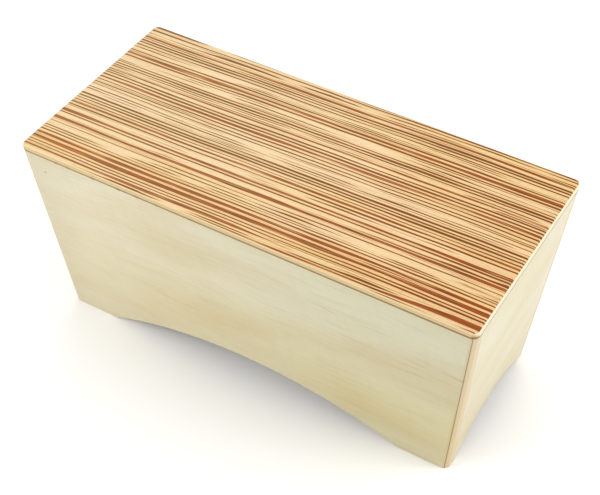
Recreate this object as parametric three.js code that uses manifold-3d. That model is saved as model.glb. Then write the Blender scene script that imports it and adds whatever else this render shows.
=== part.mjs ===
// Bongo cajon: a low box drum held between the knees. A zebrano-faced playing board lies on
// four plywood walls that lean in towards the floor. A divider parts the box into a small
// chamber with a high voice and a large one with a low voice. Both are open at the foot,
// and arches between the feet let the sound out. Every joint is glued.
//
// Millimetres, +Z up. The origin is on the floor under the middle of the drum, +X runs along
// its length and -Y is the player's side.

import * as THREE from 'three';
import { mergeVertices } from 'three/addons/utils/BufferGeometryUtils.js';
import Module from 'manifold-3d';

const wasm = await Module();
wasm.setup();

// Outside of the box
const LENGTH = 400; // end to end at the playing surface, before its rim is rounded
const WIDTH = 190; // front to back, in the same way
const HEIGHT = 187; // floor to playing surface
const END_LEAN = 5; // degrees that each end leans in towards the floor
const SIDE_LEAN = 6.3; // degrees that each long side leans in
const CORNER_RADIUS = 6; // upright corners, in plan
const PLAYING_EDGE_RADIUS = 3; // round-over of the playing board's rim
const ARRIS_RADIUS = 1; // easing along the feet and the arches

// Sheet stock
const BOARD_THICKNESS = 5; // playing board with its face
const VENEER_THICKNESS = 0.6; // zebrano face alone
const WALL_THICKNESS = 9; // four walls, square to their faces
const DIVIDER_THICKNESS = 9;
const GLUE_LINE = 0.3; // left between glued pieces

// Arches between the feet
const SIDE_ARCH_SPAN = 280;
const SIDE_ARCH_RISE = 30;
const SIDE_SHOULDER_RADIUS = 30; // turn from arch to foot
const END_ARCH_SPAN = 120;
const END_ARCH_RISE = 24;
const END_SHOULDER_RADIUS = 8;

// Divider between the chambers
const DIVIDER_OFFSET = 36; // middle of the divider, left of the middle of the drum
const DIVIDER_FOOT = 40; // its lower edge above the floor
const GROOVE_DEPTH = 3; // of the grooves that it stands in

// Glue blocks in the inner corners
const BLOCK_LEG = 20; // along each wall
const BLOCK_TIP = 2; // blunt edge at the end of each leg
const BLOCK_FOOT = 32; // lower end above the floor

// Fineness of the rounded stretches
const CORNER_STEPS = 8;
const EDGE_STEPS = 5;
const ARRIS_STEPS = 3;
const ARCH_STEPS = 32;
const SHOULDER_STEPS = 6;
const GROOVE_STEPS = 12;

// Cutting tools reach this far past what they cut
const OVERCUT = 10;

// A corner never gets sharper than this where the rim is rounded over
const LEAST_RADIUS = 0.2;

const END_ANGLE = THREE.MathUtils.degToRad(END_LEAN);
const SIDE_ANGLE = THREE.MathUtils.degToRad(SIDE_LEAN);
const WALL_TOP = HEIGHT - BOARD_THICKNESS - GLUE_LINE;
const QUARTER_TURN = Math.PI / 2;

// Half the box's length at a height, with its ends moved in by a depth square to them
function halfLength(height, depth = 0) {
  return LENGTH / 2 - (HEIGHT - height) * Math.tan(END_ANGLE) - depth / Math.cos(END_ANGLE);
}

// Half its width at a height, with its long sides moved in the same way
function halfWidth(height, depth = 0) {
  return WIDTH / 2 - (HEIGHT - height) * Math.tan(SIDE_ANGLE) - depth / Math.cos(SIDE_ANGLE);
}

// Solids

// A closed mesh as a solid that can be joined and cut
function solidOf(geometry) {
  const bare = geometry.clone();
  bare.deleteAttribute('normal');
  bare.deleteAttribute('uv');
  const merged = mergeVertices(bare);
  return new wasm.Manifold(new wasm.Mesh({
    numProp: 3,
    vertProperties: new Float32Array(merged.attributes.position.array),
    triVerts: new Uint32Array(merged.index.array),
  }));
}

// A solid through a row of outlines with equal numbers of points. Each outline runs
// counter-clockwise seen from the last one, and place puts a point of the outline in space.
function loft(sections) {
  const count = sections[0].outline.length;
  const positions = sections.flatMap(({ outline, place }) => (
    outline.flatMap((point) => place(point).toArray())
  ));
  const index = [];
  for (let start = 0; start < (sections.length - 1) * count; start += count) {
    for (let i = 0; i < count; i += 1) {
      const here = start + i;
      const next = start + ((i + 1) % count);
      index.push(here, next, next + count, here, next + count, here + count);
    }
  }
  const last = (sections.length - 1) * count;
  for (const [a, b, c] of THREE.ShapeUtils.triangulateShape(sections[0].outline, [])) {
    index.push(a, c, b);
  }
  for (const [a, b, c] of THREE.ShapeUtils.triangulateShape(sections.at(-1).outline, [])) {
    index.push(last + a, last + b, last + c);
  }
  const geometry = new THREE.BufferGeometry();
  geometry.setAttribute('position', new THREE.Float32BufferAttribute(positions, 3));
  geometry.setIndex(index);
  return solidOf(geometry);
}

// A solid through level outlines, one for each height
function stack(heights, outlineAt) {
  return loft(heights.map((height) => ({
    outline: outlineAt(height),
    place: (point) => new THREE.Vector3(point.x, point.y, height),
  })));
}

function rectangle(left, right, front, back) {
  return [
    new THREE.Vector2(left, front),
    new THREE.Vector2(right, front),
    new THREE.Vector2(right, back),
    new THREE.Vector2(left, back),
  ];
}

function roundedRectangle(halfX, halfY, radius) {
  const sides = [[1, 1], [-1, 1], [-1, -1], [1, -1]];
  return sides.flatMap(([sideX, sideY], corner) => {
    const arc = [];
    for (let step = 0; step <= CORNER_STEPS; step += 1) {
      const angle = (corner + step / CORNER_STEPS) * QUARTER_TURN;
      const x = sideX * (halfX - radius) + radius * Math.cos(angle);
      const y = sideY * (halfY - radius) + radius * Math.sin(angle);
      arc.push(new THREE.Vector2(x, y));
    }
    return arc;
  });
}

// An upright or level block between two heights
function block(left, right, front, back, bottom, top) {
  return stack([bottom, top], () => rectangle(left, right, front, back));
}

// The space between the long walls, or between planes that lie a depth inside their faces
function betweenSides(depth) {
  return stack([-OVERCUT, HEIGHT + OVERCUT], (height) => (
    rectangle(-LENGTH, LENGTH, -halfWidth(height, depth), halfWidth(height, depth))
  ));
}

// The space between the end walls, in the same way
function betweenEnds(depth) {
  return stack([-OVERCUT, HEIGHT + OVERCUT], (height) => (
    rectangle(-halfLength(height, depth), halfLength(height, depth), -WIDTH, WIDTH)
  ));
}

// Depth and set-back of the points of a quarter round, from a face round to its side
function quarterRound(radius, steps) {
  const points = [];
  for (let step = 0; step <= steps; step += 1) {
    const angle = (step / steps) * QUARTER_TURN;
    points.push({
      depth: radius * (1 - Math.cos(angle)),
      setBack: radius * (1 - Math.sin(angle)),
    });
  }
  return points;
}

// The whole drum as one tapered block, its rims rounded above and eased below
function drumBlock() {
  const foot = quarterRound(ARRIS_RADIUS, ARRIS_STEPS);
  const rim = quarterRound(PLAYING_EDGE_RADIUS, EDGE_STEPS).reverse();
  const levels = [
    ...foot.map(({ depth, setBack }) => ({ height: depth, setBack })),
    ...rim.map(({ depth, setBack }) => ({ height: HEIGHT - depth, setBack })),
  ];
  return loft(levels.map(({ height, setBack }) => ({
    outline: roundedRectangle(
      halfLength(height) - setBack,
      halfWidth(height) - setBack,
      Math.max(CORNER_RADIUS - setBack, LEAST_RADIUS),
    ),
    place: (point) => new THREE.Vector3(point.x, point.y, height),
  })));
}

// The opening under an arch, from foot to foot: a circular arc whose ends turn down softly
// on to the floor. Easing moves the arc up into the wall, while its feet stay on the floor.
function archOutline(span, rise, shoulder, easing) {
  const radius = span ** 2 / (8 * rise) + rise / 2;
  const centre = rise - radius;
  const reach = radius + easing;
  const footX = Math.sqrt((reach + shoulder) ** 2 - (shoulder - centre) ** 2);
  const swing = Math.atan2(footX, shoulder - centre);
  const half = [new THREE.Vector2(footX, -OVERCUT)];
  for (let step = 0; step < SHOULDER_STEPS; step += 1) {
    const angle = (step / SHOULDER_STEPS) * swing;
    half.push(new THREE.Vector2(
      footX - shoulder * Math.sin(angle),
      shoulder * (1 - Math.cos(angle)),
    ));
  }
  for (let step = 0; step < ARCH_STEPS / 2; step += 1) {
    const angle = (1 - step / (ARCH_STEPS / 2)) * swing;
    half.push(new THREE.Vector2(reach * Math.sin(angle), centre + reach * Math.cos(angle)));
  }
  const crown = new THREE.Vector2(0, centre + reach);
  const otherHalf = half.map((point) => new THREE.Vector2(-point.x, point.y)).reverse();
  return [...half, crown, ...otherHalf];
}

// Cuts an arch through a leaning wall and eases its edges on both faces. The wall faces -Y
// before the turn, stands the given distance from the middle at the floor and leans out
// upwards by its slope.
function archCutter({ span, rise, shoulder, distance, angle, turn }) {
  const easing = quarterRound(ARRIS_RADIUS, ARRIS_STEPS);
  const across = 1 / Math.cos(angle);
  const cuts = [
    { depth: WALL_THICKNESS + OVERCUT, setBack: ARRIS_RADIUS },
    ...easing.map(({ depth, setBack }) => ({ depth: WALL_THICKNESS - depth, setBack })),
    ...easing.reverse(),
    { depth: -OVERCUT, setBack: ARRIS_RADIUS },
  ];
  const facing = new THREE.Matrix4().makeRotationZ(turn);
  return loft(cuts.map(({ depth, setBack }) => ({
    outline: archOutline(span, rise, shoulder, setBack),
    place: (point) => new THREE.Vector3(
      point.x,
      depth * across - distance - point.y * Math.tan(angle),
      point.y,
    ).applyMatrix4(facing),
  })));
}

// The two stopped grooves for the divider, open at the top and round at the foot as the
// cutter leaves them
function grooveCutter() {
  const radius = DIVIDER_THICKNESS / 2 + GLUE_LINE;
  const slot = [];
  for (let step = 0; step <= GROOVE_STEPS; step += 1) {
    const angle = Math.PI * (1 + step / GROOVE_STEPS);
    slot.push(new THREE.Vector2(
      radius * Math.cos(angle) - DIVIDER_OFFSET,
      radius * Math.sin(angle) + DIVIDER_FOOT,
    ));
  }
  slot.push(new THREE.Vector2(radius - DIVIDER_OFFSET, HEIGHT));
  slot.push(new THREE.Vector2(-radius - DIVIDER_OFFSET, HEIGHT));
  const through = loft([WIDTH, -WIDTH].map((y) => ({
    outline: slot,
    place: (point) => new THREE.Vector3(point.x, y, point.y),
  })));
  return through.intersect(betweenSides(WALL_THICKNESS - GROOVE_DEPTH));
}

// Pieces

const drum = drumBlock();

function playingVeneer() {
  return drum.intersect(
    block(-LENGTH, LENGTH, -WIDTH, WIDTH, HEIGHT - VENEER_THICKNESS, HEIGHT + OVERCUT),
  );
}

function playingBoard() {
  const underside = HEIGHT - BOARD_THICKNESS;
  return drum.intersect(
    block(-LENGTH, LENGTH, -WIDTH, WIDTH, underside, HEIGHT - VENEER_THICKNESS),
  );
}

// All four walls as one tapered tube, from the floor to the glue line under the board
function wallTube() {
  return drum
    .intersect(block(-LENGTH, LENGTH, -WIDTH, WIDTH, -OVERCUT, WALL_TOP))
    .subtract(betweenSides(WALL_THICKNESS).intersect(betweenEnds(WALL_THICKNESS)));
}

const walls = wallTube();

// A long wall, which laps over the ends of the end walls: side is -1 in front, 1 behind
function longPanel(side) {
  const half = block(-LENGTH, LENGTH, Math.min(0, side * WIDTH), Math.max(0, side * WIDTH),
    -OVERCUT, HEIGHT);
  const arch = archCutter({
    span: SIDE_ARCH_SPAN,
    rise: SIDE_ARCH_RISE,
    shoulder: SIDE_SHOULDER_RADIUS,
    distance: halfWidth(0),
    angle: SIDE_ANGLE,
    turn: side < 0 ? 0 : Math.PI,
  });
  return walls
    .intersect(half)
    .subtract(betweenSides(WALL_THICKNESS))
    .subtract(arch)
    .subtract(grooveCutter());
}

// The right end wall, which fits between the long walls
function endPanel() {
  const arch = archCutter({
    span: END_ARCH_SPAN,
    rise: END_ARCH_RISE,
    shoulder: END_SHOULDER_RADIUS,
    distance: halfLength(0),
    angle: END_ANGLE,
    turn: QUARTER_TURN,
  });
  return walls
    .intersect(block(0, LENGTH, -WIDTH, WIDTH, -OVERCUT, HEIGHT))
    .intersect(betweenSides(WALL_THICKNESS + GLUE_LINE))
    .subtract(arch);
}

function dividerPanel() {
  const left = -DIVIDER_OFFSET - DIVIDER_THICKNESS / 2;
  const right = -DIVIDER_OFFSET + DIVIDER_THICKNESS / 2;
  return block(left, right, -WIDTH, WIDTH, DIVIDER_FOOT, WALL_TOP)
    .intersect(betweenSides(WALL_THICKNESS - GROOVE_DEPTH + GLUE_LINE));
}

// A glue block in the right-hand inner corner of one long wall: side is -1 in front, 1 behind
function cornerBlock(side) {
  return stack([BLOCK_FOOT, WALL_TOP], (height) => {
    const x = halfLength(height, WALL_THICKNESS + GLUE_LINE);
    const y = halfWidth(height, WALL_THICKNESS + GLUE_LINE);
    const outline = [
      new THREE.Vector2(x, side * y),
      new THREE.Vector2(x, side * (y - BLOCK_LEG)),
      new THREE.Vector2(x - BLOCK_TIP, side * (y - BLOCK_LEG)),
      new THREE.Vector2(x - BLOCK_LEG, side * (y - BLOCK_TIP)),
      new THREE.Vector2(x - BLOCK_LEG, side * y),
    ];
    return side < 0 ? outline : outline.reverse();
  });
}

// Finishes

function zebrano() {
  return new THREE.MeshStandardMaterial({ color: 0xcf9f68, roughness: 0.42, metalness: 0 });
}

function birchPly() {
  return new THREE.MeshStandardMaterial({ color: 0xe3d3ae, roughness: 0.55, metalness: 0 });
}

function softwood() {
  return new THREE.MeshStandardMaterial({ color: 0xe0c48f, roughness: 0.75, metalness: 0 });
}

function piece(name, solid, material) {
  const { vertProperties, triVerts } = solid.getMesh();
  const geometry = new THREE.BufferGeometry();
  geometry.setAttribute('position', new THREE.BufferAttribute(vertProperties, 3));
  geometry.setIndex(new THREE.BufferAttribute(triVerts, 1));
  geometry.computeVertexNormals();
  const mesh = new THREE.Mesh(geometry, material);
  mesh.name = name;
  return mesh;
}

// The same piece at the opposite end or corner, half a turn round the upright axis
function turned(mesh) {
  mesh.rotation.z = Math.PI;
  return mesh;
}

const board = new THREE.Group();
board.add(piece('playing_veneer', playingVeneer(), zebrano()));
board.add(piece('playing_board', playingBoard(), birchPly()));

const box = new THREE.Group();
box.add(piece('front_panel', longPanel(-1), birchPly()));
box.add(piece('back_panel', longPanel(1), birchPly()));
box.add(piece('right_end_panel', endPanel(), birchPly()));
box.add(turned(piece('left_end_panel', endPanel(), birchPly())));
box.add(piece('divider_panel', dividerPanel(), birchPly()));

const blocks = new THREE.Group();
blocks.add(piece('corner_block_front_right', cornerBlock(-1), softwood()));
blocks.add(piece('corner_block_back_right', cornerBlock(1), softwood()));
blocks.add(turned(piece('corner_block_back_left', cornerBlock(-1), softwood())));
blocks.add(turned(piece('corner_block_front_left', cornerBlock(1), softwood())));

const cajon = new THREE.Group();
cajon.add(board, box, blocks);

export default cajon;
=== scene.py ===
"""The looks of the bongo cajon: the finish of each piece, the glue under its board, dark as painted
shade of the joint, light and camera.

Blender works in metres, and so do the camera, the lights and the floor. The box, its glue and the
figure of its wood are laid out in millimetres.
"""

import math
from functools import reduce

import bmesh
import bpy
from mathutils import Matrix, Vector


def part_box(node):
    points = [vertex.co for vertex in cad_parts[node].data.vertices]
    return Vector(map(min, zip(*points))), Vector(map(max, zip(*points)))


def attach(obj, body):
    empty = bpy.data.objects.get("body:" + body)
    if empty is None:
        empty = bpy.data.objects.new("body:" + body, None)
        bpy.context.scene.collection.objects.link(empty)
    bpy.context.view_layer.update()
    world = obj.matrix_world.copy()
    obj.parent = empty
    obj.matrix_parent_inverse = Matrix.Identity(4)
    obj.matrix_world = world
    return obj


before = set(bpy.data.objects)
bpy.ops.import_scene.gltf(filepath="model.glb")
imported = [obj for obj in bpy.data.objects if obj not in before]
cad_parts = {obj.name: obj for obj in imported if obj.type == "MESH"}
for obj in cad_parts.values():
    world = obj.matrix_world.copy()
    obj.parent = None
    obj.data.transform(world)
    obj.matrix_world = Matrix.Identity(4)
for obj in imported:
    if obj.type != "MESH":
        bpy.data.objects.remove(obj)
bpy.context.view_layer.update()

MM = 0.001

# Camera, as the photograph was taken: degrees, metres, and a lens and sensor in millimetres
CAMERA_AZIMUTH = 30.0
CAMERA_ELEVATION = 44.15
CAMERA_ROLL = 0.73
CAMERA_AIM = Vector((0.0023, 0.0013, 0.0935))
CAMERA_DISTANCE = 1.147
CAMERA_LENS = 83.06
SENSOR_WIDTH = 36.0

# Light and floor. Each area light has a name, a place, a width and a power in watts.
WORLD_STRENGTH = 0.80
AREA_LIGHTS = (
    ("key_right", (1.8, 0.5, 1.3), 1.4, 21.5),
    ("fill_left", (-0.95, -1.15, 0.95), 1.0, 10.8),
    ("top_back", (-0.7, 1.3, 1.7), 1.6, 8.0),
)
LIGHT_AIM = Vector((0.0, 0.0, 0.1))
STUDIO_BRIGHTNESS = 1.25  # light on the playing board, where 1 shows plain white as white
FLOOR_SIZE = 12.0


def box_in_mm(name):
    """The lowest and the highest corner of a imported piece."""
    return [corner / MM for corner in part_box(name)]


# The box: its walls lean in towards the floor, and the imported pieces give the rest
END_LEAN = math.radians(5.0)
SIDE_LEAN = math.radians(6.3)
BOARD_LOW, BOARD_HIGH = box_in_mm("playing_board")
WALL_HIGH = box_in_mm("back_panel")[1]
FOOT_HALF_LENGTH = WALL_HIGH.x - WALL_HIGH.z * math.tan(END_LEAN)
FOOT_HALF_WIDTH = WALL_HIGH.y - WALL_HIGH.z * math.tan(SIDE_LEAN)

# The sheet of the walls and the divider: a sanded ply on each face and the plies between
WALL_THICKNESS = 9.0
WALL_FACE = 0.7
WALL_INNER_PLIES = 5
WALL_PLY = (WALL_THICKNESS - 2 * WALL_FACE) / WALL_INNER_PLIES

SHARP_ANGLE = math.radians(40)  # an edge that turns by more than this is sharp


def seen(red, green, blue):
    """A surface colour that looks like this, from 0 to 255, in the light of the studio."""
    def channel(value):
        share = value / 255
        light = share / 12.92 if share <= 0.04045 else ((share + 0.055) / 1.055) ** 2.4
        return light / STUDIO_BRIGHTNESS
    return (channel(red), channel(green), channel(blue), 1.0)


# Materials

class Value:
    """A number that varies over a surface. Arithmetic on it adds Math nodes to its finish."""

    def __init__(self, finish, socket):
        self.finish = finish
        self.socket = socket

    def __add__(self, other):
        return self.finish.math("ADD", self, other)

    def __sub__(self, other):
        return self.finish.math("SUBTRACT", self, other)

    def __rsub__(self, other):
        return self.finish.math("SUBTRACT", other, self)

    def __mul__(self, other):
        return self.finish.math("MULTIPLY", self, other)

    def __truediv__(self, other):
        return self.finish.math("DIVIDE", self, other)

    def __abs__(self):
        return self.finish.math("ABSOLUTE", self)

    __radd__ = __add__
    __rmul__ = __mul__

    def larger(self, other):
        return self.finish.math("MAXIMUM", self, other)

    def smaller(self, other):
        return self.finish.math("MINIMUM", self, other)

    def rise(self, low, high):
        """0 below low and 1 above high, with a smooth step between. low may be the larger."""
        return self.finish.rise(self, low, high)


class Finish:
    """A material, built up from values on the object's own coordinates. They are its x, y and
    z, in millimetres."""

    # Sockets of a Mix node that take and give colours
    MIX_FIRST = 6
    MIX_SECOND = 7
    MIX_RESULT = 2

    def __init__(self, name):
        self.material = bpy.data.materials.new(name)
        self.material.use_nodes = True
        self.nodes = self.material.node_tree.nodes
        self.links = self.material.node_tree.links
        self.shader = self.nodes["Principled BSDF"]
        coordinates = self.nodes.new("ShaderNodeTexCoord").outputs["Object"]
        self.x, self.y, self.z = (part / MM for part in self.split(coordinates))

    def feed(self, socket, source):
        """Links a value to a socket, or sets the socket to a plain number or colour."""
        if isinstance(source, Value):
            self.links.new(source.socket, socket)
        else:
            socket.default_value = source

    def split(self, vector):
        """The three parts of a vector."""
        parts = self.nodes.new("ShaderNodeSeparateXYZ")
        self.links.new(vector, parts.inputs[0])
        return [Value(self, output) for output in parts.outputs]

    def facing(self):
        """How far the surface faces along each axis, without regard to side."""
        geometry = self.nodes.new("ShaderNodeNewGeometry")
        return [abs(part) for part in self.split(geometry.outputs["Normal"])]

    def math(self, operation, first, second=0.0):
        node = self.nodes.new("ShaderNodeMath")
        node.operation = operation
        self.feed(node.inputs[0], first)
        self.feed(node.inputs[1], second)
        return Value(self, node.outputs[0])

    def rise(self, value, low, high):
        node = self.nodes.new("ShaderNodeMapRange")
        node.interpolation_type = "SMOOTHSTEP"
        self.feed(node.inputs["Value"], value)
        self.feed(node.inputs["From Min"], low)
        self.feed(node.inputs["From Max"], high)
        return Value(self, node.outputs["Result"])

    def distance(self, first, second):
        return self.math("SQRT", first * first + second * second)

    def noise(self, x, y, z=0.0, detail=2.0, roughness=0.5):
        """Soft noise round 0.5, one unit of x, y and z from crest to crest. A plain number in
        the last place only picks a pattern that no other noise has."""
        place = self.nodes.new("ShaderNodeCombineXYZ")
        for socket, source in zip(place.inputs, (x, y, z)):
            self.feed(socket, source)
        node = self.nodes.new("ShaderNodeTexNoise")
        self.links.new(place.outputs[0], node.inputs["Vector"])
        node.inputs["Scale"].default_value = 1.0
        node.inputs["Detail"].default_value = detail
        node.inputs["Roughness"].default_value = roughness
        return Value(self, node.outputs["Fac"])

    def edge(self, radius):
        """1 on edges and corners, 0 on flats farther from them than the radius. The likeness
        of the rounded normal and the real one is the cosine of the angle between them."""
        rounded = self.nodes.new("ShaderNodeBevel")
        rounded.samples = 6
        rounded.inputs["Radius"].default_value = radius * MM
        geometry = self.nodes.new("ShaderNodeNewGeometry")
        likeness = self.nodes.new("ShaderNodeVectorMath")
        likeness.operation = "DOT_PRODUCT"
        self.links.new(rounded.outputs["Normal"], likeness.inputs[0])
        self.links.new(geometry.outputs["Normal"], likeness.inputs[1])
        return Value(self, likeness.outputs["Value"]).rise(0.995, 0.85)

    def blend(self, amount, first, second, way="MIX"):
        """From the first colour to the second."""
        node = self.nodes.new("ShaderNodeMix")
        node.data_type = "RGBA"
        node.blend_type = way
        self.feed(node.inputs["Factor"], amount)
        self.feed(node.inputs[self.MIX_FIRST], first)
        self.feed(node.inputs[self.MIX_SECOND], second)
        return Value(self, node.outputs[self.MIX_RESULT])

    def tint(self, colour, amount, let_through):
        """The colour seen through a filter where the amount is 1. The filter lets through
        these shares of red, green and blue."""
        return self.blend(amount, colour, (*let_through, 1.0), "MULTIPLY")

    def shade(self, colour, amount, strength):
        """The colour browned by up to a strength where the amount is 1."""
        return self.tint(colour, amount, (1 - strength, 1 - strength * 1.1, 1 - strength * 1.25))

    def colour(self, source):
        self.feed(self.shader.inputs["Base Color"], source)

    def roughness(self, source):
        self.feed(self.shader.inputs["Roughness"], source)

    def mirroring(self, level):
        """How strongly the finish mirrors the studio, where 0.5 is plain varnish."""
        self.shader.inputs["Specular IOR Level"].default_value = level

    def relief(self, height, depth):
        """Relief from a height of 0 to 1, over a depth in millimetres."""
        node = self.nodes.new("ShaderNodeBump")
        node.inputs["Distance"].default_value = depth * MM
        self.feed(node.inputs["Height"], height)
        self.links.new(node.outputs["Normal"], self.shader.inputs["Normal"])


# Stripes of the zebrano sheet: place across the board at its middle, and width. The ribbons
# are broad and reddish, the lines narrow and dark.
ZEBRANO_RIBBONS = (
    (79.5, 2.6), (54.5, 3.2), (27, 1.8), (14.5, 2.6), (-25, 2.4),
    (-37.5, 2.8), (-48.5, 3.2), (-71, 2.8), (-76.5, 3.8),
)
ZEBRANO_LINES = (
    (89.5, 1.6), (74, 2.0), (71, 1.8), (67.5, 1.4), (59, 1.6), (50.5, 1.9), (40, 1.3),
    (37, 2.0), (34, 1.3), (22, 1.8), (18.5, 1.8), (10.5, 1.5), (6.5, 1.4), (3, 1.1),
    (-11.5, 1.8), (-15, 1.5), (-18, 1.8), (-21.5, 1.2), (-29, 1.8), (-41, 1.5),
    (-54, 1.1), (-63.5, 1.0), (-66.5, 1.6), (-81, 1.4), (-84, 1.5),
)
# Where the sheet has fewer fine lines: place, and half the width
ZEBRANO_GAPS = ((93, 2), (63.5, 3), (44, 3.5), (31, 3), (-3, 6), (-32.5, 2), (-60, 4.5), (-94, 3))
# Two ribbons nearest the front: one dies out to the right, one swells and turns in there
FRONT_LEFT_PLACE = -87.6
FRONT_RIGHT_PLACE = -93.5
RIM_LINE_PLACE = -91.2  # a thin dark line along the right half of the front rim
STRIPE_DRIFT = 4.25  # sideways run of the stripes from the middle to the right end
OUTER_ROW = 85.0  # stripes this far from the middle line run less aslant
OUTER_ROW_LOSS = 0.3  # the share of their drift that they lose
RING_SPACING = 3.1  # from one fine line to the next
FIGURE_REACH = 190.0  # from the middle to the right end of the figure, where along is 1

STRAW_PALE = seen(252, 222, 176)
STRAW_WARM = seen(246, 214, 158)
STRAW_CREAM = seen(250, 226, 186)
STRAW_TAN = seen(216, 174, 118)
# Colours of stripes, at the left end and at the right
RIBBON_COLOURS = (seen(162, 92, 42), seen(162, 80, 22))
LINE_COLOURS = (seen(116, 72, 22), seen(122, 62, 0))


def stripe_place(wood, along):
    """How far across the board a point lies, once the run of the stripes is taken out: their
    drift, a slow sway, a ripple and the hairs that fray them. Also returns the hairs."""
    drift = along * (1.25 - along * along * 0.25) * STRIPE_DRIFT
    outwards = wood.y * wood.y / OUTER_ROW ** 2
    sway = (wood.noise(wood.x / 120, wood.y / 60, 4.0, detail=1) - 0.5) * 3
    ripple = (wood.noise(wood.x / 38, wood.y / 14, 9.0, detail=1) - 0.5) * 0.8
    across = wood.y - drift * (1 - outwards * OUTER_ROW_LOSS) - sway - ripple
    hairs = wood.noise(across / 0.5, wood.x / 110, 17.0, detail=1)
    return across + (hairs - 0.5) * 0.7, hairs


def outside(wood, across, growth, stripes):
    """Millimetres to the nearest of the stripes, negative inside it. Each swells and thins
    along its length, on top of the growth."""
    gaps = []
    for place, width in stripes:
        swell = wood.noise(wood.x / 75, place * 1.7, 2.0, detail=1).rise(0.2, 0.8) * 0.65 + 0.62
        gaps.append(abs(across - place) - swell * growth * (width / 2))
    return reduce(Value.smaller, gaps)


def strong_stripes(wood, across, along):
    """Millimetres to the nearest ribbon and to the nearest line, negative inside them."""
    turn = along.rise(0.55, 1.0)
    bulge = along.rise(-0.75, -0.4) * 0.8 - along.rise(-0.15, 0.35) * 2.3
    front_left = abs(across - FRONT_LEFT_PLACE) - bulge - 0.9
    front_right = abs(across - turn * 3.3 - FRONT_RIGHT_PLACE) - turn * 1.7 - 0.7
    to_ribbon = outside(wood, across, 1.0, ZEBRANO_RIBBONS).smaller(front_left).smaller(front_right)
    growth = along.rise(0.0, 0.5) * 0.14 + 1.0
    to_line = outside(wood, across, growth, ZEBRANO_LINES)
    return to_ribbon, to_line


def fine_lines(wood, across, free):
    """Growth lines that come and go where the sheet is free of stronger ones. Returns the lines
    and the golden wood beside them."""
    gaps = [abs(across - place).rise(reach * 1.2, reach * 0.5) for place, reach in ZEBRANO_GAPS]
    fade = wood.noise(wood.x / 110, across / 9, 8.0, detail=1)
    spread = (wood.noise(across / 8, wood.x / 900, 11.0, detail=1) - 0.5) * 9
    rings = (across + spread) / RING_SPACING
    index = wood.math("FLOOR", rings)
    inside = rings - index
    weight = wood.noise(index * 3.7, wood.x / 75, 13.0, detail=1) + (fade - 0.5) * 0.2
    weight = weight - reduce(Value.larger, gaps) * 0.08
    present = weight.rise(0.32, 0.49) * free
    far_side = weight.rise(0.26, 0.50) * 0.2 + weight.rise(0.50, 0.72) * 0.3 + 0.32
    line = inside.rise(0.16, 0.28) * inside.rise(far_side + 0.10, far_side - 0.04)
    halo = inside.rise(0.0, 0.2) * inside.rise(far_side + 0.34, far_side)
    return line * present, halo * present


def straw(wood, across, along, flush, halo):
    """The wood between the stripes: cream towards the left, yellower towards the right, with
    tan streaks that weaken along the front rim. It reddens where a ribbon flushes it and turns
    golden in a halo."""
    cloud = wood.noise(across / 28, wood.x / 150, 5.0, detail=2)
    colour = wood.blend(cloud.rise(0.35, 0.7), STRAW_PALE, STRAW_WARM)
    colour = wood.tint(colour, along.rise(-0.2, 1.0), (0.985, 0.945, 0.90))
    heart = abs(wood.y).rise(45.0, 10.0)
    left = wood.y.rise(-75.0, -50.0) * along.rise(0.6, -0.4)
    colour = wood.blend(left * (heart * 0.35 + 0.3), colour, STRAW_CREAM)
    back_right = wood.y.rise(40.0, 75.0) * along.rise(0.2, 0.9)
    colour = wood.tint(colour, back_right, (0.98, 0.99, 0.90))
    streaks = wood.noise(across / 0.95, wood.x / 130, 29.0, detail=1).rise(0.46, 0.64)
    colour = wood.blend(streaks * (0.2 + wood.y.rise(-92.0, -84.0) * 0.16), colour, STRAW_TAN)
    colour = wood.tint(colour, flush * 0.45, (1.0, 0.95, 0.89))
    return wood.tint(colour, halo * 0.8, (0.97, 0.87, 0.70))


def zebrano():
    """Zebrano veneer: brown stripes along the board on straw-coloured wood, satin lacquered."""
    wood = Finish("zebrano_lacquered")
    along = wood.x / FIGURE_REACH
    across, hairs = stripe_place(wood, along)
    to_ribbon, to_line = strong_stripes(wood, across, along)
    nearest = to_ribbon.smaller(to_line)
    fine, fine_halo = fine_lines(wood, across, 1 - nearest.rise(1.3, 0.7))
    ribbons = to_ribbon.rise(0.2, -0.2)
    lines = to_line.rise(0.15, -0.25)
    halo = nearest.rise(1.1, 0.0).larger(fine_halo)
    flush = to_ribbon.rise(5.0, 0.0) * wood.y.rise(-91.0, -83.0)
    split = wood.noise(across / 1.5, wood.x / 55, 37.0, detail=1).rise(0.56, 0.70)
    dark = (ribbons * (1.0 - split * 0.45)).larger(lines).larger(fine)
    streaks = wood.noise(across / 1.3, wood.x / 45, 19.0, detail=2)
    core = streaks.rise(0.46, 0.62).larger((lines.larger(fine) - ribbons) * (0.88 - flush * 0.3))
    pores = wood.noise(across / 0.22, wood.x / 6, 23.0, detail=1).rise(0.58, 0.72)

    to_right = along.rise(-1.0, 1.0)
    ribbon_colour = wood.blend(to_right, *RIBBON_COLOURS)
    line_colour = wood.blend(to_right, *LINE_COLOURS)
    stripe = wood.blend(core, ribbon_colour, line_colour)
    ground = straw(wood, across, along, flush, halo)
    colour = wood.blend(dark * (0.94 + along * 0.05), ground, stripe)
    red_rows = wood.y.rise(-66.0, -76.0) * wood.y.rise(-86.0, -80.0)
    colour = wood.tint(colour, red_rows, (1.0, 0.95, 0.90))
    rim_line = abs(wood.y - RIM_LINE_PLACE).rise(0.7, 0.2) * along.rise(-0.3, 0.3)
    colour = wood.shade(colour, rim_line, 0.14)
    colour = wood.shade(colour, pores, 0.18)
    wood.colour(colour)
    wood.roughness(0.38 + dark * 0.06 + pores * 0.1)
    wood.mirroring(0.1)
    wood.relief(hairs * 0.5 - pores * 0.5 - dark * 0.3, 0.05)
    return wood.material


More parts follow.
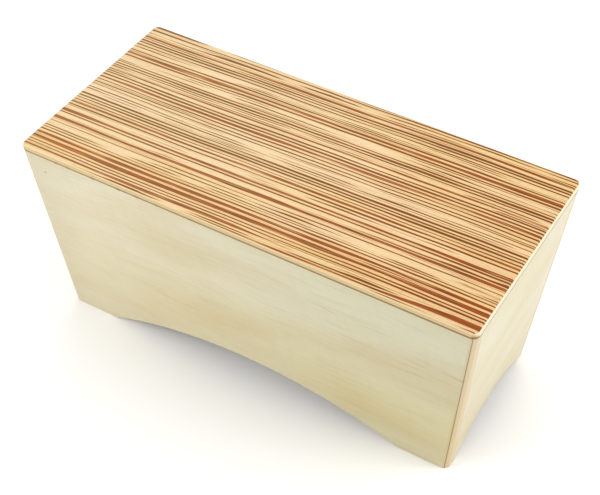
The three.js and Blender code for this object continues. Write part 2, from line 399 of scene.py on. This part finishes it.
PLY_PALE = seen(235, 228, 200)
PLY_WARM = seen(224, 208, 165)
PLY_GLUE = seen(138, 102, 46)
# Colours of the joint line under the board, glue darkened as painted shade of the gap: brown on the long
# sides, grey at the ends
JOINT_BROWN = seen(150, 110, 38)
JOINT_GREY = seen(142, 138, 116)

# Colours of ply edges: side grain, then end grain
WALL_EDGE = (seen(234, 215, 176), seen(232, 209, 168))
BOARD_EDGE = (seen(226, 200, 152), seen(216, 190, 142))
# Colours of the board's rim: its round-over, a painted highlight, its ends, pale wood under a painted
# highlight, and its corners
BOARD_ROUND_HIGHLIGHT = seen(246, 219, 168)
BOARD_END_PALE_AND_HIGHLIGHT = seen(252, 240, 210)
BOARD_CORNER = seen(186, 126, 58)

# The front sheet's pin knot: place, and half its length and height
KNOT_X = -178.9
KNOT_Z = 164.5
KNOT_HALF_LENGTH = 1.6
KNOT_HALF_HEIGHT = 1.2


def birch_face(wood, along, across, seed):
    """The figure of a peeled birch face: clouds and streaks along the grain, a faint curl
    across it. Returns the colour and the height of its fibres."""
    bend = (wood.noise(along / 90, across / 40, seed + 2, detail=1) - 0.5) * 14
    across = across + bend
    cloud = wood.noise(along / 150, across / 45, seed, detail=2)
    curl = wood.noise(along / 7 + across / 30, across / 40, seed + 3, detail=2)
    streak = wood.noise(along / 60, across / 2.4, seed + 5, detail=2, roughness=0.6)
    vein = wood.noise(along / 34, across / 1.1, seed + 6, detail=1).rise(0.66, 0.80)
    fibre = wood.noise(along / 16, across / 0.5, seed + 7, detail=2)
    pores = wood.noise(along / 2.6, across / 0.16, seed + 9, detail=1).rise(0.62, 0.74)
    colour = wood.blend(cloud.rise(0.3, 0.8) * 0.8 + 0.06, PLY_PALE, PLY_WARM)
    colour = wood.shade(colour, streak.rise(0.48, 0.72), 0.07)
    colour = wood.shade(colour, vein, 0.10)
    colour = wood.shade(colour, curl.rise(0.42, 0.7), 0.018)
    colour = wood.shade(colour, fibre.rise(0.4, 0.75), 0.05)
    colour = wood.shade(colour, pores, 0.12)
    height = fibre * 0.6 + streak * 0.3 - pores * 0.5
    return colour, height


def layers(wood, depth, face, ply):
    """For a depth into a sheet: 1 where the ply's grain runs as on the face and 0 where it
    runs across, the share of glue under the face, and that of the glue farther in."""
    wobble = (wood.noise(wood.x / 22, wood.y / 22, wood.z / 22, detail=1) - 0.5) * 0.5
    place = (depth + wobble * depth.rise(0.9, 1.6) - face) / ply
    index = wood.math("FLOOR", place)
    same = wood.math("FLOORED_MODULO", index, 2.0)
    fraction = place - index
    nearest = fraction.smaller(1.0 - fraction) * ply
    first = abs(depth - face).rise(0.22, 0.10)
    return same, first, nearest.rise(0.16, 0.04)


def sheet_ply(name, depth_of, thickness, grain, seed, face=WALL_FACE, ply=WALL_PLY,
        edge=WALL_EDGE, glue=0.7, tone=None, raw=False):
    """Birch plywood. depth_of gives the depth under the outer face, and grain names the axis of the face
    grain and the axis that the cross plies follow. face and ply are thicknesses, glue is how dark its
    lines are, tone changes the colour and may paint shade and highlight into it, and raw leaves the
    lacquer off."""
    wood = Finish(name)
    places = {"x": wood.x, "y": wood.y, "z": wood.z}
    facing = dict(zip("xyz", wood.facing()))
    long_axis, cross_axis = grain
    colour, height = birch_face(wood, places[long_axis], places[cross_axis], seed)
    depth = depth_of(wood)
    same, first_glue, inner_glue = layers(wood, depth, face, ply)
    cut_end = same * facing[long_axis] + (1.0 - same) * facing[cross_axis]
    on_edge = depth.rise(0.02, 0.2) * (thickness - depth).rise(0.02, 0.2)
    speck = wood.noise(wood.x / 0.5, wood.y / 0.5, wood.z / 0.5, detail=2)
    side_grain, end_grain = edge
    end_grain = wood.shade(end_grain, speck.rise(0.4, 0.7), 0.12)
    edge_colour = wood.blend(cut_end.rise(0.3, 0.9), side_grain, end_grain)
    edge_colour = wood.blend(inner_glue * glue * 0.4, edge_colour, PLY_GLUE)
    edge_colour = wood.blend(first_glue * glue, edge_colour, PLY_GLUE)
    colour = wood.blend(on_edge, colour, edge_colour)
    colour = wood.shade(colour, wood.edge(0.7), 0.08)
    if tone:
        colour = tone(wood, colour)
    wood.colour(colour)
    face_roughness = 0.62 if raw else 0.42
    wood.roughness(face_roughness + speck * 0.08 + on_edge * 0.12)
    wood.mirroring(0.5 if raw else 0.3)
    wood.relief(height + on_edge * (speck * 0.6 - inner_glue * 0.5), 0.05)
    return wood.material


def under_board_glue_and_shade(wood, colour):
    """A dark line in the joint under the board, partly glue and polish gathered there and partly painted
    shade of the gap: brown on the long sides, with flecks towards the left, and greyer at the ends."""
    joint = (BOARD_LOW.z + WALL_HIGH.z) / 2
    uneven = wood.noise(wood.x / 18, wood.y / 18, wood.z / 4, detail=2)
    on_long_side = wood.facing()[1].rise(0.3, 0.8)
    to_right = wood.x.rise(-200.0, 200.0)
    flecks = wood.noise(wood.x / 6, 7.0, detail=1).rise(0.54, 0.66) * wood.x.rise(0.0, -90.0)
    reach = on_long_side * (to_right * 0.3 + flecks * 0.5 - 0.25) + 0.77 + uneven * 0.2
    # Painted shade: the joint line darkens the faces where the gap under the board lies in shade, on top
    # of its glue.
    line = abs(wood.z - joint).rise(reach + 0.25, reach)
    joint_glue_and_shade = wood.blend(on_long_side, JOINT_GREY, JOINT_BROWN)
    return wood.blend(line * (0.9 - on_long_side * (0.22 - to_right * 0.12)), colour, joint_glue_and_shade)


def rim_tone_and_highlight(wood, colour):
    """The rim of the board: a painted highlight along its round-over, cream at its ends where pale wood
    carries a painted highlight, tan along its sides, browned at the corners, and the joint line under
    it, partly painted shade.
    """
    to_end, to_side, _ = wood.facing()
    # Painted highlight: the top of the rim, where it rounds over, is lightened as if it caught the
    # light.
    high = wood.z.rise(BOARD_HIGH.z - 1.8, BOARD_HIGH.z - 0.4)
    colour = wood.blend(high * 0.9, colour, BOARD_ROUND_HIGHLIGHT)
    # The ends: pale wood, lightened further by a painted highlight.
    colour = wood.blend(to_end.rise(0.45, 0.8) * 0.85, colour, BOARD_END_PALE_AND_HIGHLIGHT)
    low = wood.z.rise(BOARD_HIGH.z - 1.0, BOARD_LOW.z + 1.0)
    corner = to_end.rise(0.1, 0.4) * to_side.rise(0.2, 0.5) * low
    colour = wood.blend(corner * 0.85, colour, BOARD_CORNER)
    return under_board_glue_and_shade(wood, colour)


def front_tone_and_shade(wood, colour):
    """The front sheet: cream at the left but for its very end, where painted shade darkens it, greyer
    and darker to the right as painted shade, and tan towards the lower edge, with a few long dark
    streaks at its right and a pin knot at its upper left. It ends with the joint line under the board."""
    on_face = wood.facing()[1].rise(0.6, 0.9)
    # Painted shade: the face darkens and greys towards the right, as the light falls off.
    to_right = wood.x.rise(-190.0, 190.0)
    colour = wood.tint(colour, to_right * on_face, (0.88, 0.90, 0.88))
    # Painted shade: the face darkens again at its very left end.
    left_end = wood.x.rise(-140.0, -200.0)
    colour = wood.tint(colour, left_end * on_face, (0.90, 0.885, 0.85))
    to_floor = wood.z.rise(165.0, 60.0) * wood.x.rise(-300.0, 20.0)
    colour = wood.tint(colour, to_floor * on_face, (0.985, 0.955, 0.86))
    low_right = wood.z.rise(100.0, 50.0) * wood.z.rise(10.0, 50.0) * wood.x.rise(0.0, 120.0)
    colour = wood.tint(colour, low_right * on_face, (1.0, 0.98, 0.89))
    sway = (wood.noise(wood.x / 60, wood.z / 30, 71.0, detail=1) - 0.5) * 9
    height = wood.z + wood.x * 0.06 + sway
    streaks = wood.noise(wood.x / 55, height / 3.2, 73.0, detail=1).rise(0.60, 0.74)
    streaks = streaks * height.rise(112.0, 124.0) * height.rise(160.0, 148.0) * on_face
    colour = wood.shade(colour, streaks * wood.x.rise(-20.0, 60.0), 0.12)
    from_knot = wood.distance((wood.x - KNOT_X) / KNOT_HALF_LENGTH, (wood.z - KNOT_Z) / KNOT_HALF_HEIGHT)
    colour = wood.shade(colour, from_knot.rise(1.3, 0.5), 0.3)
    return under_board_glue_and_shade(wood, colour)


def leaning_wall(axis, side):
    """The function that gives the depth under the outer face of a wall. The wall stands on the
    floor and leans out upwards."""
    lean = SIDE_LEAN if axis == "y" else END_LEAN
    foot = FOOT_HALF_WIDTH if axis == "y" else FOOT_HALF_LENGTH

    def depth(wood):
        place = wood.y if axis == "y" else wood.x
        return (foot - place * side) * math.cos(lean) + wood.z * math.sin(lean)

    return depth


def board_core():
    """The playing board's core, three plies with the outer ones across the drum."""
    thickness = BOARD_HIGH.z - BOARD_LOW.z
    ply = thickness / 3
    return sheet_ply("board_core_ply", lambda wood: BOARD_HIGH.z - wood.z, thickness, ("y", "x"),
        seed=31.0, face=ply, ply=ply, edge=BOARD_EDGE, glue=0.25, tone=rim_tone_and_highlight)


def divider_ply():
    """The divider's sheet, with its face grain across the drum."""
    low, high = box_in_mm("divider_panel")
    return sheet_ply("divider_ply_raw", lambda wood: wood.x - low.x, high.x - low.x, ("y", "z"),
        seed=41.0, raw=True)


def softwood():
    """Sawn softwood with its grain upright."""
    wood = Finish("softwood_sawn")
    swirl = (wood.noise(wood.x / 30, wood.y / 30, wood.z / 160, detail=1) - 0.5) * 8
    rings = wood.noise((wood.x + wood.y * 0.6 + swirl) / 2.4, wood.z / 300, 3.0, detail=1)
    fibre = wood.noise(wood.x / 0.5, wood.y / 0.5, wood.z / 14, detail=2)
    colour = wood.blend(rings.rise(0.35, 0.7), seen(236, 210, 158), seen(206, 160, 98))
    colour = wood.shade(colour, fibre.rise(0.4, 0.75), 0.12)
    wood.colour(colour)
    wood.roughness(0.66 + fibre * 0.15)
    wood.relief(fibre * 0.8 + rings * 0.2, 0.12)
    return wood.material


def glue_and_shade_film():
    """Dried wood glue, amber and a little glossy, and dark as painted shade for the gap under the board.
    """
    glue = Finish("dried_glue_and_shade")
    spots = glue.noise(glue.x / 7, glue.y / 7, glue.z / 3, detail=2)
    glue.colour(glue.blend(spots, seen(84, 56, 26), seen(56, 36, 16)))
    glue.roughness(0.35 + spots * 0.2)
    glue.relief(spots, 0.08)
    return glue.material


def floor_paper():
    """White paper with a faint tooth."""
    paper = Finish("floor_paper")
    tooth = paper.noise(paper.x / 2, paper.y / 2, detail=2)
    paper.colour(paper.blend(tooth, (0.98, 0.98, 0.98, 1.0), (0.96, 0.96, 0.96, 1.0)))
    paper.roughness(0.9)
    return paper.material


# Pieces

def smooth_by_angle():
    """A geometry group that leaves sharp edges sharp and smooths the rest."""
    group = bpy.data.node_groups.new("smooth_by_angle", "GeometryNodeTree")
    group.interface.new_socket("Geometry", in_out="INPUT", socket_type="NodeSocketGeometry")
    group.interface.new_socket("Geometry", in_out="OUTPUT", socket_type="NodeSocketGeometry")
    start = group.nodes.new("NodeGroupInput")
    end = group.nodes.new("NodeGroupOutput")
    angle = group.nodes.new("GeometryNodeInputMeshEdgeAngle")
    compare = group.nodes.new("FunctionNodeCompare")
    compare.operation = "LESS_THAN"
    compare.inputs[1].default_value = SHARP_ANGLE
    faces = group.nodes.new("GeometryNodeSetShadeSmooth")
    faces.domain = "FACE"
    edges = group.nodes.new("GeometryNodeSetShadeSmooth")
    edges.domain = "EDGE"
    group.links.new(start.outputs[0], faces.inputs["Geometry"])
    group.links.new(faces.outputs[0], edges.inputs["Geometry"])
    group.links.new(angle.outputs["Unsigned Angle"], compare.inputs[0])
    group.links.new(compare.outputs[0], edges.inputs["Shade Smooth"])
    group.links.new(edges.outputs[0], end.inputs[0])
    return group


def refine(node, smoothing, easing):
    """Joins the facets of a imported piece, eases its sharp arrises and evens its normals."""
    mesh = node.data
    for name in ("custom_normal", "sharp_edge", "sharp_face"):
        if name in mesh.attributes:
            mesh.attributes.remove(mesh.attributes[name])
    weld = node.modifiers.new("weld", "WELD")
    weld.merge_threshold = 0.002 * MM
    facets = node.modifiers.new("join_facets", "DECIMATE")
    facets.decimate_type = "DISSOLVE"
    facets.angle_limit = math.radians(0.4)
    if easing:
        ease = node.modifiers.new("ease_arrises", "BEVEL")
        ease.width = easing * MM
        ease.segments = 2
        ease.limit_method = "ANGLE"
        ease.angle_limit = SHARP_ANGLE
        ease.use_clamp_overlap = True
    smooth = node.modifiers.new("smooth", "NODES")
    smooth.node_group = smoothing
    weighted = node.modifiers.new("even_normals", "WEIGHTED_NORMAL")
    weighted.keep_sharp = True
    weighted.weight = 100


def dress(name, material, smoothing, easing=0):
    """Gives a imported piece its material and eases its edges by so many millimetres."""
    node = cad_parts[name]
    node.data.materials.clear()
    node.data.materials.append(material)
    refine(node, smoothing, easing)


def dress_all():
    """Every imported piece. The walls lean, so each has a sheet of its own."""
    smoothing = smooth_by_angle()
    dress("playing_veneer", zebrano(), smoothing)
    dress("playing_board", board_core(), smoothing)
    # Name, the axis that the wall faces and the side it is on, its grain, seed and tone, which paints
    # the shade of the joint and, on the front, more painted shade
    walls = (
        ("front_panel", "y", -1, ("x", "z"), 3.0, front_tone_and_shade),
        ("back_panel", "y", 1, ("x", "z"), 63.0, under_board_glue_and_shade),
        ("right_end_panel", "x", 1, ("y", "z"), 123.0, under_board_glue_and_shade),
        ("left_end_panel", "x", -1, ("y", "z"), 183.0, under_board_glue_and_shade),
    )
    for name, axis, side, grain, seed, tone in walls:
        depth_of = leaning_wall(axis, side)
        material = sheet_ply(name + "_ply", depth_of, WALL_THICKNESS, grain, seed, tone=tone)
        dress(name, material, smoothing, easing=0.25)
    dress("divider_panel", divider_ply(), smoothing, easing=0.3)
    pine = softwood()
    for corner in ("front_right", "back_right", "back_left", "front_left"):
        dress("corner_block_" + corner, pine, smoothing, easing=0.5)


def rounded_ring(build, half_x, half_y, radius, height):
    """A level ring of points with round corners, which starts at its right side."""
    corner_steps = 8
    points = []
    for turn, (side_x, side_y) in enumerate(((1, 1), (-1, 1), (-1, -1), (1, -1))):
        for step in range(corner_steps + 1):
            angle = (turn + step / corner_steps) * math.pi / 2
            x = side_x * (half_x - radius) + radius * math.cos(angle)
            y = side_y * (half_y - radius) + radius * math.sin(angle)
            points.append(build.verts.new((x * MM, y * MM, height * MM)))
    return points


def glue_and_shade_joint():
    """The glue under the playing board, a film set back a little from the face of the walls, dark as
    painted shade in the gap.
    """
    inset = 0.6
    corner_radius = 6.0
    inner_radius = 1.0
    film_width = WALL_THICKNESS - 1.0
    clearance = 0.01
    low = WALL_HIGH.z + clearance
    high = BOARD_LOW.z - clearance
    half_x = BOARD_HIGH.x - (BOARD_HIGH.z - BOARD_LOW.z) * math.tan(END_LEAN) - inset
    half_y = BOARD_HIGH.y - (BOARD_HIGH.z - BOARD_LOW.z) * math.tan(SIDE_LEAN) - inset
    inner_x = half_x - film_width
    inner_y = half_y - film_width
    mesh = bpy.data.meshes.new("board_glue_and_shade")
    build = bmesh.new()
    rings = [
        rounded_ring(build, half_x, half_y, corner_radius, low),
        rounded_ring(build, half_x, half_y, corner_radius, high),
        rounded_ring(build, inner_x, inner_y, inner_radius, high),
        rounded_ring(build, inner_x, inner_y, inner_radius, low),
    ]
    count = len(rings[0])
    for here, there in zip(rings, rings[1:] + rings[:1]):
        for i in range(count):
            j = (i + 1) % count
            build.faces.new((here[i], here[j], there[j], there[i]))
    bmesh.ops.recalc_face_normals(build, faces=build.faces)
    build.to_mesh(mesh)
    build.free()
    mesh.materials.append(glue_and_shade_film())
    film = bpy.data.objects.new("board_glue_and_shade", mesh)
    bpy.context.scene.collection.objects.link(film)
    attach(film, "root")


# Stage

def floor():
    """A wide sheet of pale paper."""
    mesh = bpy.data.meshes.new("floor")
    build = bmesh.new()
    half = FLOOR_SIZE / 2
    corners = ((-half, -half), (half, -half), (half, half), (-half, half))
    build.faces.new([build.verts.new((x, y, 0)) for x, y in corners])
    build.to_mesh(mesh)
    build.free()
    mesh.materials.append(floor_paper())
    sheet = bpy.data.objects.new("floor", mesh)
    bpy.context.scene.collection.objects.link(sheet)


def area_light(name, place, width, power):
    """A round soft light that looks at the drum."""
    light = bpy.data.lights.new(name, "AREA")
    light.shape = "DISK"
    light.size = width
    light.energy = power
    lamp = bpy.data.objects.new(name, light)
    lamp.location = place
    direction = LIGHT_AIM - Vector(place)
    lamp.rotation_mode = "QUATERNION"
    lamp.rotation_quaternion = direction.to_track_quat("-Z", "Y")
    bpy.context.scene.collection.objects.link(lamp)


def lights():
    """A white studio with its soft lights."""
    world = bpy.data.worlds.new("studio")
    world.use_nodes = True
    background = world.node_tree.nodes["Background"]
    background.inputs["Color"].default_value = (1.0, 1.0, 1.0, 1.0)
    background.inputs["Strength"].default_value = WORLD_STRENGTH
    bpy.context.scene.world = world
    for light in AREA_LIGHTS:
        area_light(*light)


def camera():
    """The viewpoint of the photograph."""
    azimuth = math.radians(CAMERA_AZIMUTH)
    elevation = math.radians(CAMERA_ELEVATION)
    roll = math.radians(CAMERA_ROLL)
    level = math.cos(elevation)
    back = Vector((math.sin(azimuth) * level, -math.cos(azimuth) * level, math.sin(elevation)))
    right = Vector((math.cos(azimuth), math.sin(azimuth), 0.0))
    up = back.cross(right)
    rolled_right = math.cos(roll) * right + math.sin(roll) * up
    rolled_up = math.cos(roll) * up - math.sin(roll) * right
    lens = bpy.data.cameras.new("camera")
    lens.lens = CAMERA_LENS
    lens.sensor_width = SENSOR_WIDTH
    lens.sensor_fit = "HORIZONTAL"
    lens.clip_start = 0.01
    lens.clip_end = 100.0
    eye = bpy.data.objects.new("camera", lens)
    turn = Matrix((rolled_right, rolled_up, back)).transposed().to_4x4()
    eye.matrix_world = Matrix.Translation(CAMERA_AIM + back * CAMERA_DISTANCE) @ turn
    bpy.context.scene.collection.objects.link(eye)
    bpy.context.scene.camera = eye


bpy.context.scene.view_settings.view_transform = "Standard"
dress_all()
glue_and_shade_joint()
floor()
lights()
camera()
